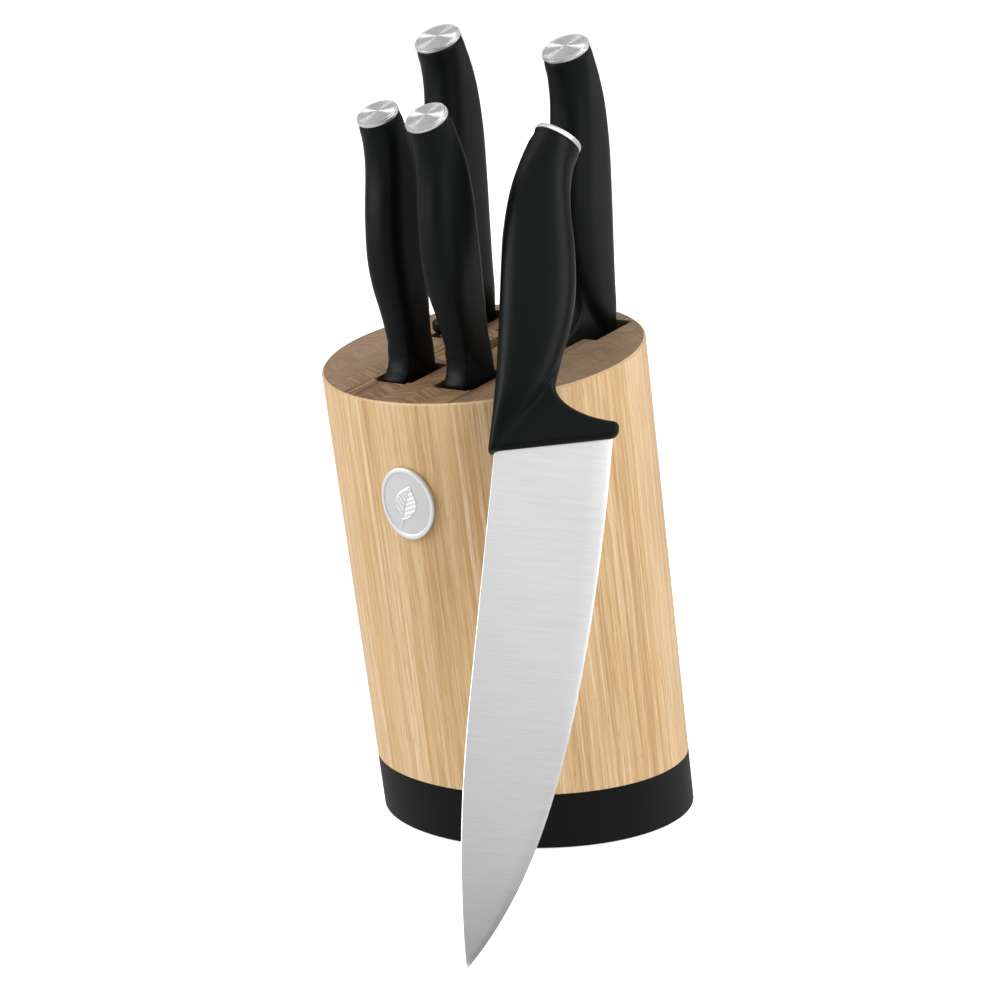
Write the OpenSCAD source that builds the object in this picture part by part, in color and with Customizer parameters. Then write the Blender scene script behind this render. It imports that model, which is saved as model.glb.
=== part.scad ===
// Round leaning knife block with five knives: four stand in their slots,
// and the chef's knife leans against the front of the block.
// Millimetres. +Z is up, the front of the block faces -Y, and the origin is on
// the floor, in the middle of the underside.

/* [Block] */
// Radius of the block, measured square to its own axis
block_r = 69; // [66:0.5:85]
// Lean of the block's axis towards the front, in degrees
lean = 11; // [6:0.5:14]
// Width of the chamfer round the top face
rim_chamfer = 0.8; // [0.3:0.1:2]

/* [Base] */
// Height of the black base shoe
shoe_h = 25.3; // [16:0.1:40]
// Thickness of the shoe's side wall
shoe_wall = 3; // [2:0.1:6]
// Thickness of the shoe's floor, over the pad
shoe_floor = 3; // [2:0.1:5]
// Thickness of the anti-slip pad under the block
pad_t = 2; // [1:0.1:4]
// How far the pad stands out below the shoe
pad_proud = 0.5; // [0.2:0.1:1]
// Radius of the circle that the four base screws stand on
screw_circle = 50; // [40:1:56]
// Shank diameter of the base screws
screw_d = 4; // [3:0.1:5]
// Length of the base screws
screw_l = 18; // [12:1:24]

/* [Slots] */
// Distance between the slots of one row
slot_pitch = 31.5; // [30:0.5:36]
// Sideways place of the middle slot of the back row
back_row_x = -1.5; // [-4:0.5:4]
// Sideways place of the left slot of the front row
front_row_x = -13; // [-14:0.5:-10]
// Width of the blade slots
slot_w = 4.6; // [4.2:0.1:6]
// Play in front of and behind a blade in its slot
slot_play = 1.5; // [0.8:0.1:3]
// Play round a handle in its pocket
pocket_play = 1.4; // [1:0.1:2]

/* [Blades] */
// Length of the chef's, slicing and bread blades
long_blade = 197; // [170:1:240]
// Length of the utility blade
utility_blade = 125; // [100:1:150]
// Length of the paring blade
paring_blade = 90; // [70:1:110]
// Heel width of the chef's blade
chef_w = 45.7; // [36:0.1:46]
// Thickness of the long blades at the spine
blade_t = 2.2; // [1.5:0.1:3]
// Thickness of the small blades at the spine
small_blade_t = 1.6; // [1.2:0.1:2.4]

/* [Handles] */
// Length of a large handle, to the middle of its butt
large_handle = 134; // [115:1:160]
// Length of a small handle, to the middle of its butt
small_handle = 118; // [95:1:140]
// Width of a large handle at its belly
large_belly = 30.3; // [24:0.1:38]
// Width of a small handle at its belly
small_belly = 27; // [20:0.1:30]
// How far a guard stands out past the edge of its blade
guard_over = 2.2; // [1:0.1:5]
// Slope of the butt and its steel cap, in degrees
butt_slope = 22; // [10:1:30]

/* [Badge] */
// Width of the oval badge
badge_w = 25; // [14:0.5:30]
// Height of the oval badge
badge_h = 31; // [20:0.5:38]
// Height of the badge's middle above the floor
badge_z = 166; // [110:1:170]
// Turn of the badge round the block from the front, in degrees
badge_turn = 5.5; // [-20:0.5:20]
// Thickness of the badge plate
badge_t = 1.2; // [0.8:0.1:2]

/* [Leaning knife] */
// Direction that the flat of the leaning knife faces, in degrees round from the front
rest_turn = 35; // [20:1:45]
// Lean of the knife's flat against the block, in degrees from upright
rest_pitch = 24.6; // [18:0.1:30]
// Sideways tilt of the knife within its own flat, in degrees
rest_roll = 4.8; // [0:0.1:10]
// Sideways place of the leaning knife's heel, across the flat's own direction
rest_side = -15.6; // [-24:0.1:-4]
// Gap between the leaning handle and the rim of the block
rest_gap = 0.3; // [0.1:0.1:1]

/* [Hidden] */
$fn = 96;

bamboo = "#d9b27c";
bamboo_dark = "#c99f68";
black_plastic = "#1b1c1e";
soft_black = "#232426";
steel = "#c9ccd0";
bright_steel = "#dfe2e5";

fit = 0.1;          // clearance between pieces that are glued or pressed
over = 1;           // how far cutters run past what they cut
far = 600;          // a length longer than the whole object

// The block is as tall as the long blades need: seat, blade and tip over the shoe's floor.
deep_seat = 12.7;   // depth of the slicing knife's pocket
mid_seat = 8;       // depth of the other pockets
tip_gap = 6.5;      // space under the long blades' tips
spine_v = 48.5;     // place of the long blades' spines, behind the top face's middle
front_spine_v = -24.4;  // the same for the small blades
floor_z = pad_t + shoe_floor;
block_h = floor_z + (deep_seat + long_blade + tip_gap) * cos(lean) - spine_v * sin(lean);

// Rows of slots: [sideways place, spine's place, seat depth, tilt in the slot]
bread_slot = [back_row_x - slot_pitch, spine_v - 2, mid_seat, -1.3];
chef_slot = [back_row_x, spine_v, mid_seat, 0];
slicing_slot = [back_row_x + slot_pitch, spine_v, deep_seat, -2.5];
utility_slot = [front_row_x, front_spine_v, mid_seat, -1.85];
paring_slot = [front_row_x + slot_pitch, front_spine_v, mid_seat - 2, 2];

bread_w = 34;
slicing_w = 36;
utility_w = 20;
paring_w = 19;

// Shares that set the shape of each blade: [tip's place, belly, spine drop starts at]
chef_form = [0.195, 0.45, 0.45];
slicing_form = [0.3, 0.12, 0.6];
bread_form = [0.55, 0.03, 0.75];
utility_form = [0.25, 0.3, 0.5];
paring_form = [0.25, 0.35, 0.4];

large_half = 9.6;   // half thickness of a large handle
small_half = 8.6;   // half thickness of a small handle
large_slope = 0.2212;   // rise of the large guard's underside towards the edge
small_slope = 0.1223;   // the same for a small guard
guard_nose = 2.7;   // width of the rounded nose at a guard's tip

// Handle kinds, made to suit a blade w wide: [length, belly width, half thickness, guard width,
//     guard drop, flare height, cap radius, guard half thickness, pocket's half width in front]
function guard_w(w) = w + guard_over;
function large(w) = [large_handle, large_belly, large_half, guard_w(w),
                     (guard_w(w) - guard_nose) * large_slope, 13, 10.2, 3.4,
                     3.4 + pocket_play * 0.6];
function small(w) = [small_handle, small_belly, small_half, guard_w(w),
                     (guard_w(w) - guard_nose) * small_slope, 8, 8.9, 5.6,
                     small_half - 0.6];

blade_seat = 1.5;   // depth of a blade's heel in its guard
tang_share = 0.6;   // tang's length as a share of the handle's
tang_place = 0.12;  // tang's place as a share of the handle's belly width
tang_w = 12;
small_tang_w = 9;
cap_t = 2.4;
cap_bevel = 0.6;
stud_r = 3;
stud_l = 9;
small_tip_gap = 6;  // space under the small blades' tips
pad_r = block_r - shoe_wall - 2 - fit;  // the pad lies inside the shoe's rim

// ---------------------------------------------------------------- outlines

// A smooth line through points p
function between(a, b, c, d, t) = 0.5 * (2 * b + (c - a) * t + (2 * a - 5 * b + 4 * c - d) * t * t
                                         + (3 * b - a - 3 * c + d) * t * t * t);
function smooth(p, steps = 5) = concat(
    [for (i = [0 : len(p) - 2]) for (k = [0 : steps - 1])
        between(p[max(i - 1, 0)], p[i], p[i + 1], p[min(i + 2, len(p) - 1)], k / steps)],
    [p[len(p) - 1]]);
function sized(p, w, l) = [for (q = p) [q[0] * w, q[1] * l]];
function reversed(p) = [for (i = [len(p) - 1 : -1 : 0]) p[i]];

// Side outline of a handle, as shares of its belly width and its length
handle_spine = [[-0.08, 0], [-0.07, 0.2], [-0.1, 0.37], [-0.15, 0.56], [-0.17, 0.68],
                [-0.13, 0.81], [-0.01, 0.93], [0.16, 1.04], [0.24, 1.08]];
handle_belly = [[0.72, 0.03], [0.71, 0.2], [0.755, 0.3], [0.835, 0.4], [0.86, 0.51],
                [0.8, 0.64], [0.7, 0.76], [0.665, 0.85], [0.7, 0.93], [0.78, 0.98], [0.84, 1.03]];
// Front outline: half thickness along the length, as far as the end that carries the cap
handle_cheek = [[0.66, 0], [0.72, 0.1], [0.86, 0.25], [0.98, 0.45], [1, 0.62], [0.97, 0.8]];

neck_share = 0.71;
middle_share = 0.35;
butt_share = 0.452;

// Blade outline: t runs from 0 at the heel to 1 at the tip
function edge_at(form, t) = 1 - form[1] * pow(t, 2) - (1 - form[0] - form[1]) * pow(t, 6);
function spine_at(form, t) = form[0] * pow(max(0, (t - form[2]) / (1 - form[2])), 2.5);
blade_steps = 24;
function blade_outline(form, w, l, top_spine, top_edge) = concat(
    [[0, top_spine]],
    [for (i = [0 : blade_steps]) [w * spine_at(form, i / blade_steps), -l * i / blade_steps]],
    [for (i = [blade_steps - 1 : -1 : 0])
        [w * edge_at(form, i / blade_steps), -l * i / blade_steps]],
    [[w, top_edge]]);

// ---------------------------------------------------------------- placing

// The top face's own frame: Z along the block's axis, Y towards the back
module on_top() {
    translate([0, -block_h * tan(lean), block_h]) rotate([lean, 0, 0]) children();
}

// A knife's own frame: X across the flat, Y towards the edge, Z from the tip to the butt
module in_slot(slot) {
    on_top() translate([slot[0], slot[1], -slot[2]]) rotate([slot[3], 0, 0])
        rotate([0, 0, 180]) children();
}

// The leaning knife: its flat stands off the rim by half the handle and the gap
flat_x = sin(rest_turn) * cos(rest_pitch);
flat_y = -cos(rest_turn) * cos(rest_pitch);
flat_z = sin(rest_pitch);
flat_v = flat_y * cos(lean) + flat_z * sin(lean);
rim_reach = -block_h * tan(lean) * flat_y + block_h * flat_z
          + block_r * sqrt(flat_x * flat_x + flat_v * flat_v);
flat_off = rim_reach + large_half + rest_gap;
tip_drop = chef_w * chef_form[0] * cos(rest_pitch) * sin(rest_roll)
         + long_blade * cos(rest_pitch) * cos(rest_roll) + blade_t / 2 * flat_z;
heel_out = (flat_off - tip_drop * flat_z) / cos(rest_pitch);
heel_x = heel_out * sin(rest_turn) + rest_side * cos(rest_turn);
heel_y = -heel_out * cos(rest_turn) + rest_side * sin(rest_turn);

module leaning() {
    translate([heel_x, heel_y, tip_drop])
        rotate([-rest_roll, -rest_pitch, rest_turn - 90]) children();
}

// ---------------------------------------------------------------- knives

// Turns a side outline, drawn as [towards the edge, along the knife], into a plate t thick
module plate(t) {
    rotate([90, 0, 90]) translate([0, 0, -t / 2]) linear_extrude(t) children();
}

function guard_slope(kind) = kind[4] / (kind[3] - guard_nose);

module blade(kind, form, w, l, t, tang) {
    tang_l = kind[0] * tang_share;
    edge_t = 0.3;
    full = w * 0.12;    // the blade keeps its full thickness this far from the spine
    color(steel) union() {
        intersection() {
            plate(t) polygon(blade_outline(form, w, l, blade_seat,
                                           blade_seat + w * guard_slope(kind)));
            translate([0, 0, -far / 2]) linear_extrude(far)
                polygon([[-t / 2, -over], [t / 2, -over], [t / 2, full], [edge_t / 2, w],
                         [edge_t / 2, w + over], [-edge_t / 2, w + over], [-edge_t / 2, w],
                         [-t / 2, full]]);
        }
        translate([-t / 2, tang_place * kind[1], -blade_seat])
            cube([t, tang, blade_seat + tang_l]);
    }
}

// The whole grip above the guard, before the butt is cut off
module grip_form(kind) {
    half = kind[2];
    sag = half * 0.56;
    chord = kind[1] / 2;
    cheek_r = (chord * chord + sag * sag) / (2 * sag);
    end_half = kind[6] - fit;
    cheek = concat(sized(handle_cheek, half, kind[0]),
                   [[end_half, kind[0] * 0.97], [end_half, kind[0] * 1.1]]);
    intersection() {
        plate(4 * half) polygon(concat(smooth(sized(handle_spine, kind[1], kind[0])),
                                       reversed(smooth(sized(handle_belly, kind[1], kind[0])))));
        translate([0, kind[1] * 2, 0]) rotate([90, 0, 0]) linear_extrude(kind[1] * 4)
            polygon(concat(smooth(cheek), reversed(smooth([for (q = cheek) [-q[0], q[1]]]))));
        translate([half - cheek_r, kind[1] * middle_share, -over])
            cylinder(r = cheek_r, h = far, $fn = 180);
        translate([cheek_r - half, kind[1] * middle_share, -over])
            cylinder(r = cheek_r, h = far, $fn = 180);
    }
}

module guard_form(kind) {
    neck = kind[1] * neck_share;
    top = kind[4] + 7 + kind[5];
    steps = 10;
    flare = [for (i = [0 : steps])
        [neck + (kind[3] - neck) * (1 - cos(90 * i / steps)),
         top - kind[5] * sin(90 * i / steps)]];
    plate(2 * kind[7]) polygon(concat(
        [[-0.08 * kind[1], 0], [-0.06 * kind[1], top]], flare,
        [[kind[3], kind[4] + 3], [kind[3] - 0.8, kind[4] + 0.9],
         [kind[3] - guard_nose, kind[4]]]));
}

// The butt's frame: Z square to the steel cap's face
module on_butt(kind) {
    translate([0, kind[1] * butt_share, kind[0]]) rotate([-butt_slope, 0, 0]) children();
}

module handle(kind, w, t, tang) {
    seat = blade_seat + fit;
    tang_l = kind[0] * tang_share;
    slope = guard_slope(kind);
    color(soft_black) difference() {
        union() {
            grip_form(kind);
            guard_form(kind);
        }
        on_butt(kind) translate([-far / 2, -far / 2, -cap_t]) cube([far, far, far]);
        on_butt(kind) translate([0, 0, -cap_t - stud_l - over])
            cylinder(r = stud_r + fit, h = stud_l + 2 * over, $fn = 48);
        plate(t + 2 * fit) polygon([[-fit, -over], [-fit, seat], [w + fit, seat + slope * w],
                                    [w + fit, -over]]);
        translate([-t / 2 - fit, tang_place * kind[1] - fit, -over])
            cube([t + 2 * fit, tang + 2 * fit, over + tang_l + over]);
    }
}

module end_cap(kind) {
    color(bright_steel) on_butt(kind) union() {
        translate([0, 0, -cap_t + fit]) cylinder(r = kind[6], h = cap_t - fit - cap_bevel);
        translate([0, 0, -cap_bevel]) cylinder(r1 = kind[6], r2 = kind[6] - cap_bevel, h = cap_bevel);
        translate([0, 0, -cap_t - stud_l]) cylinder(r = stud_r, h = stud_l + fit + over, $fn = 48);
    }
}

module chef_blade() {
    leaning() blade(large(chef_w), chef_form, chef_w, long_blade, blade_t, tang_w);
}
module chef_handle() { leaning() handle(large(chef_w), chef_w, blade_t, tang_w); }
module chef_end_cap() { leaning() end_cap(large(chef_w)); }

module slicing_blade() {
    in_slot(slicing_slot)
        blade(large(slicing_w), slicing_form, slicing_w, long_blade, blade_t, tang_w);
}
module slicing_handle() {
    in_slot(slicing_slot) handle(large(slicing_w), slicing_w, blade_t, tang_w);
}
module slicing_end_cap() { in_slot(slicing_slot) end_cap(large(slicing_w)); }

// Bread blade: the same plate with a row of scallops along its edge
module bread_blade() {
    scallop_r = 5;
    scallop_pitch = 8;
    scallop_depth = 1.2;
    first = 14;         // from the heel to the first scallop
    count = floor(long_blade * 0.72 / scallop_pitch);
    in_slot(bread_slot) difference() {
        blade(large(bread_w), bread_form, bread_w, long_blade, blade_t, tang_w);
        for (i = [0 : count - 1]) {
            along = first + i * scallop_pitch;
            translate([-over - blade_t,
                       bread_w * edge_at(bread_form, along / long_blade) + scallop_r - scallop_depth,
                       -along])
                rotate([0, 90, 0]) cylinder(r = scallop_r, h = 2 * (blade_t + over), $fn = 32);
        }
    }
}
module bread_handle() { in_slot(bread_slot) handle(large(bread_w), bread_w, blade_t, tang_w); }
module bread_end_cap() { in_slot(bread_slot) end_cap(large(bread_w)); }

module utility_blade_part() {
    in_slot(utility_slot)
        blade(small(utility_w), utility_form, utility_w, utility_blade, small_blade_t,
              small_tang_w);
}
module utility_handle() {
    in_slot(utility_slot) handle(small(utility_w), utility_w, small_blade_t, small_tang_w);
}
module utility_end_cap() { in_slot(utility_slot) end_cap(small(utility_w)); }

module paring_blade_part() {
    in_slot(paring_slot)
        blade(small(paring_w), paring_form, paring_w, paring_blade, small_blade_t,
              small_tang_w);
}
module paring_handle() {
    in_slot(paring_slot) handle(small(paring_w), paring_w, small_blade_t, small_tang_w);
}
module paring_end_cap() { in_slot(paring_slot) end_cap(small(paring_w)); }

// ---------------------------------------------------------------- block

// The leaning round bar of radius r, between the levels low and high
module bar(r, low, high) {
    intersection() {
        on_top() translate([0, 0, -far]) cylinder(r = r, h = far, $fn = 180);
        translate([-far / 2, -far / 2, low]) cube([far, far, high - low]);
    }
}

// The milled opening for one knife, in the knife's own frame
module slot_cut(w, depth) {
    translate([-slot_w / 2, -slot_play, -depth]) cube([slot_w, w + 2 * slot_play, depth + far / 4]);
}
module pocket_cut(kind) {
    wide = kind[2] + pocket_play;
    back = 0.08 * kind[1] + pocket_play;
    neck = kind[1] * neck_share + pocket_play;
    translate([-wide, -back, -2 * fit]) cube([2 * wide, back + neck + over, far / 4]);
    translate([-kind[8], -back, -2 * fit])
        cube([2 * kind[8], back + kind[3] + pocket_play, far / 4]);
}
module knife_room(slot, kind, w, depth) {
    in_slot(slot) {
        slot_cut(w, depth);
        pocket_cut(kind);
    }
}

// Wood between two sideways places: full size above the shoe, turned down inside it
module board(from_x, to_x) {
    level = shoe_h;
    through = far / 2;  // the long blades' slots run down to the shoe's floor
    difference() {
        intersection() {
            union() {
                intersection() {
                    bar(block_r, level, far);
                    on_top() translate([0, 0, -far]) cylinder(r = block_r, h = far - rim_chamfer,
                                                              $fn = 180);
                }
                intersection() {
                    on_top() translate([0, 0, -rim_chamfer])
                        cylinder(r1 = block_r, r2 = block_r - rim_chamfer, h = rim_chamfer,
                                 $fn = 180);
                    bar(block_r, level, far);
                }
                bar(block_r - shoe_wall - fit, floor_z, level + over);
            }
            translate([from_x, -far, 0]) cube([to_x - from_x, 2 * far, far]);
        }
        knife_room(bread_slot, large(bread_w), bread_w, through);
        knife_room(chef_slot, large(chef_w), chef_w, through);
        knife_room(slicing_slot, large(slicing_w), slicing_w, through);
        knife_room(utility_slot, small(utility_w), utility_w, utility_blade + small_tip_gap);
        knife_room(paring_slot, small(paring_w), paring_w, paring_blade + small_tip_gap);
        screw_places() cylinder(r = core_r + fit / 2, h = pad_t + screw_l + over, $fn = 32);
    }
}

module block_board_1() { color(bamboo) board(-far, bread_slot[0]); }
module block_board_2() { color(bamboo_dark) board(bread_slot[0], utility_slot[0]); }
module block_board_3() { color(bamboo) board(utility_slot[0], chef_slot[0]); }
module block_board_4() { color(bamboo_dark) board(chef_slot[0], paring_slot[0]); }
module block_board_5() { color(bamboo) board(paring_slot[0], slicing_slot[0]); }
module block_board_6() { color(bamboo_dark) board(slicing_slot[0], far); }

head_r = screw_d;           // a countersunk head is twice as wide as its shank
core_r = screw_d * 0.34;    // the screw inside its thread

// Four screws on a circle, turned to stand between the slots
module screw_places() {
    for (a = [45 : 90 : 315]) rotate([0, 0, a]) translate([screw_circle, 0, 0]) children();
}

module base_shoe() {
    color(black_plastic) difference() {
        bar(block_r, pad_proud, shoe_h);
        bar(block_r - shoe_wall, floor_z, shoe_h + over);
        bar(pad_r + fit, -over, pad_t + fit);
        screw_places() {
            cylinder(r = screw_d / 2 + fit, h = floor_z + over, $fn = 48);
            translate([0, 0, pad_t]) cylinder(r1 = head_r + fit, r2 = screw_d / 2 + fit,
                                              h = screw_d / 2, $fn = 48);
        }
    }
}

// Countersunk wood screws, driven up from below
module base_screws() {
    drive_r = screw_d * 0.28;
    color(steel) screw_places() translate([0, 0, pad_t + fit]) difference() {
        union() {
            cylinder(r1 = head_r - fit, r2 = screw_d / 2, h = screw_d / 2, $fn = 48);
            cylinder(r = core_r, h = screw_l - screw_d, $fn = 48);
            translate([0, 0, screw_l - screw_d - fit])
                cylinder(r1 = core_r, r2 = 0.3, h = screw_d, $fn = 48);
        }
        translate([0, 0, -over]) cylinder(r = drive_r, h = over + screw_d * 0.3, $fn = 6);
    }
}

module anti_slip_pad() {
    color(black_plastic) bar(pad_r, 0, pad_t);
}

// ---------------------------------------------------------------- badge

// Oval w wide and h high
module oval(w, h) {
    steps = 72;
    polygon([for (i = [0 : steps - 1])
        [w / 2 * cos(360 * i / steps), h / 2 * sin(360 * i / steps)]]);
}

// Plain leaf: two bowed sides that meet in points, with a stalk
module leaf(w, h) {
    steps = 12;
    bow = [for (i = [0 : steps]) [w / 2 * sin(180 * i / steps), h * (i / steps - 0.5)]];
    back = [for (i = [steps - 1 : -1 : 1]) [-bow[i][0], bow[i][1]]];
    polygon(concat(bow, back));
    translate([-w * 0.06, -h * 0.68]) square([w * 0.12, h * 0.3]);
}

// A flat outline thrown on to the front of the block, between two heights off the wood
module on_front(low, high) {
    reach = 10;
    difference() {
        intersection() {
            translate([0, -badge_z * tan(lean), badge_z]) rotate([lean, 0, 0])
                rotate([90, 0, badge_turn]) translate([0, 0, block_r - reach])
                    linear_extrude(2 * reach) children();
            on_top() translate([0, 0, -far]) cylinder(r = block_r + high, h = far, $fn = 180);
        }
        on_top() translate([0, 0, -far - over])
            cylinder(r = block_r + low, h = far + 2 * over, $fn = 180);
    }
}

foam_t = 0.5;

module badge_plate() {
    rim = 1;
    raised = 0.5;
    color(bright_steel) union() {
        on_front(foam_t, foam_t + badge_t) oval(badge_w, badge_h);
        on_front(foam_t + badge_t - fit, foam_t + badge_t + raised) difference() {
            oval(badge_w, badge_h);
            oval(badge_w - 2 * rim, badge_h - 2 * rim);
        }
        on_front(foam_t + badge_t - fit, foam_t + badge_t + raised)
            rotate([0, 0, -20]) leaf(badge_w * 0.42, badge_h * 0.55);
    }
}

module badge_adhesive_pad() {
    color("#555555") on_front(0, foam_t) oval(badge_w - 2, badge_h - 2);
}

block_board_1();
block_board_2();
block_board_3();
block_board_4();
block_board_5();
block_board_6();
base_shoe();
base_screws();
anti_slip_pad();
badge_plate();
badge_adhesive_pad();
chef_blade();
chef_handle();
chef_end_cap();
slicing_blade();
slicing_handle();
slicing_end_cap();
bread_blade();
bread_handle();
bread_end_cap();
utility_blade_part();
utility_handle();
utility_end_cap();
paring_blade_part();
paring_handle();
paring_end_cap();
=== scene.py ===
"""Looks of the round leaning knife block and its five knives."""
import math

import bpy
from mathutils import Matrix, Vector


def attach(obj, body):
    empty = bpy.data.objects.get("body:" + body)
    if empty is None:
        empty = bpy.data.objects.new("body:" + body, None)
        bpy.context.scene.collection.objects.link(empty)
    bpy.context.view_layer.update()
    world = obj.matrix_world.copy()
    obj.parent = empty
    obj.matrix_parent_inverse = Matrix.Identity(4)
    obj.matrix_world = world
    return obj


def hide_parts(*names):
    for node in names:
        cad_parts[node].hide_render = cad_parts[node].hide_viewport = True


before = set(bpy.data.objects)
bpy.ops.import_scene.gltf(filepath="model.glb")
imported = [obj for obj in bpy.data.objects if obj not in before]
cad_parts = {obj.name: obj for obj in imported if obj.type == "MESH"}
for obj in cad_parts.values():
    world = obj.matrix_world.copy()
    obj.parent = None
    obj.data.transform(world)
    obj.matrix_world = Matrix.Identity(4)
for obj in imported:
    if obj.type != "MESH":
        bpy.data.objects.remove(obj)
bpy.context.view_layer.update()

MM = 0.001

# ------------------------------------------------------------------ sizes of the part, in mm

BLOCK_R = 69
LEAN = math.radians(11)
FLOOR_Z = 5
DEEP_SEAT, MID_SEAT, TIP_GAP = 12.7, 8, 6.5
LONG_BLADE, UTILITY_BLADE, PARING_BLADE = 197, 125, 90
SPINE_V, FRONT_SPINE_V = 48.5, -24.4
BLOCK_H = (FLOOR_Z + (DEEP_SEAT + LONG_BLADE + TIP_GAP) * math.cos(LEAN)
           - SPINE_V * math.sin(LEAN))
SLOT_PITCH, BACK_ROW_X, FRONT_ROW_X = 31.5, -1.5, -13
BUTT_SLOPE = math.radians(22)
BUTT_SHARE = 0.452
NECK_SHARE = 0.71
GUARD_OVER, GUARD_NOSE = 2.2, 2.7
GUARD_RISE = 7      # from the guard's underside to the foot of its flare
LARGE_SLOPE, SMALL_SLOPE = 0.2212, 0.1223
BLADE_SEAT = 1.5
CAP_T = 2.4
BADGE_W, BADGE_H, BADGE_Z, BADGE_T, FOAM_T, BADGE_RAISED = 25, 31, 166, 1.2, 0.5, 0.5
BADGE_TURN = math.radians(5.5)
REST_TURN, REST_PITCH, REST_ROLL = math.radians(35), math.radians(24.6), math.radians(4.8)
REST_SIDE, REST_GAP = -15.6, 0.3
CHEF_W, SLICING_W, BREAD_W, UTILITY_W, PARING_W = 45.7, 36, 34, 20, 19
LONG_T, SHORT_T = 2.2, 1.6
SEAMS = (-33, -13, -1.5, 18.5, 30)      # glue lines between the boards
STRIP_W, STRIP_T = 10.5, 19.5           # bamboo strips that the boards are glued from


class Kind:
    """One size of moulded handle, made to suit a blade of some width."""

    def __init__(self, length, belly, half, slope, flare, cap_r, guard_half, trim, blade_w):
        self.length, self.belly, self.half, self.trim = length, belly, half, trim
        self.slope = slope
        self.guard = blade_w + GUARD_OVER
        self.drop = (self.guard - GUARD_NOSE) * slope
        self.flare, self.cap_r, self.guard_half = flare, cap_r, guard_half
        self.neck = belly * NECK_SHARE - trim
        self.top = self.drop + GUARD_RISE + flare


def large(blade_w):
    return Kind(134, 30.3, 9.6, LARGE_SLOPE, 13, 10.2, 3.4, 0, blade_w)


def small(blade_w):
    return Kind(118, 27, 8.6, SMALL_SLOPE, 8, 8.9, 5.6, 1.9, blade_w)


# ------------------------------------------------------------------ placing

def turn(axis, angle):
    return Matrix.Rotation(angle, 4, axis)


def on_axis(z):
    """The place where the block's leaning axis is z above the floor."""
    return Matrix.Translation((0, -z * math.tan(LEAN), z)) @ turn("X", LEAN)


def in_slot(x, v, seat, tilt):
    """A knife in its slot: spine v from the middle, seated so deep, tilted in degrees."""
    return (on_axis(BLOCK_H) @ Matrix.Translation((x, v, -seat))
            @ turn("X", math.radians(tilt)) @ turn("Z", math.pi))


def leaning():
    """The chef's knife: tip on the floor, flat side of the handle against the rim."""
    flat_x = math.sin(REST_TURN) * math.cos(REST_PITCH)
    flat_y = -math.cos(REST_TURN) * math.cos(REST_PITCH)
    flat_z = math.sin(REST_PITCH)
    flat_v = flat_y * math.cos(LEAN) + flat_z * math.sin(LEAN)
    reach = (-BLOCK_H * math.tan(LEAN) * flat_y + BLOCK_H * flat_z
             + BLOCK_R * math.hypot(flat_x, flat_v))
    off = reach + large(CHEF_W).half + REST_GAP
    tip_drop = (CHEF_W * CHEF_FORM[0] * math.cos(REST_PITCH) * math.sin(REST_ROLL)
                + LONG_BLADE * math.cos(REST_PITCH) * math.cos(REST_ROLL)
                + LONG_T / 2 * flat_z)
    out = (off - tip_drop * flat_z) / math.cos(REST_PITCH)
    heel = (out * math.sin(REST_TURN) + REST_SIDE * math.cos(REST_TURN),
            -out * math.cos(REST_TURN) + REST_SIDE * math.sin(REST_TURN), tip_drop)
    return (Matrix.Translation(heel) @ turn("Z", REST_TURN - math.pi / 2)
            @ turn("Y", -REST_PITCH) @ turn("X", -REST_ROLL))


def on_butt(kind):
    return (Matrix.Translation((0, kind.belly * BUTT_SHARE, kind.length))
            @ turn("X", -BUTT_SLOPE))


CHEF_FORM = (0.195, 0.45, 0.45)     # tip's place, belly, where the spine starts to drop
SLICING_FORM = (0.3, 0.12, 0.6)
BREAD_FORM = (0.55, 0.03, 0.75)
UTILITY_FORM = (0.25, 0.3, 0.5)
PARING_FORM = (0.25, 0.35, 0.4)

# name, nodes (blade, handle, cap), kind, blade form, width, length, thickness, place
KNIVES = (
    ("chef", ("chef_blade", "chef_handle", "chef_end_cap"), large(CHEF_W), CHEF_FORM, CHEF_W,
     LONG_BLADE, LONG_T, leaning()),
    ("slicing", ("slicing_blade", "slicing_handle", "slicing_end_cap"), large(SLICING_W),
     SLICING_FORM, SLICING_W, LONG_BLADE, LONG_T,
     in_slot(BACK_ROW_X + SLOT_PITCH, SPINE_V, DEEP_SEAT, -2.5)),
    ("bread", ("bread_blade", "bread_handle", "bread_end_cap"), large(BREAD_W), BREAD_FORM,
     BREAD_W, LONG_BLADE, LONG_T,
     in_slot(BACK_ROW_X - SLOT_PITCH, SPINE_V - 2, MID_SEAT, -1.3)),
    ("utility", ("utility_blade_part", "utility_handle", "utility_end_cap"), small(UTILITY_W),
     UTILITY_FORM, UTILITY_W, UTILITY_BLADE, SHORT_T,
     in_slot(FRONT_ROW_X, FRONT_SPINE_V, MID_SEAT, -1.85)),
    ("paring", ("paring_blade_part", "paring_handle", "paring_end_cap"), small(PARING_W),
     PARING_FORM, PARING_W, PARING_BLADE, SHORT_T,
     in_slot(FRONT_ROW_X + SLOT_PITCH, FRONT_SPINE_V, MID_SEAT - 2, 2)),
)


# ------------------------------------------------------------------ shader sums

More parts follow.
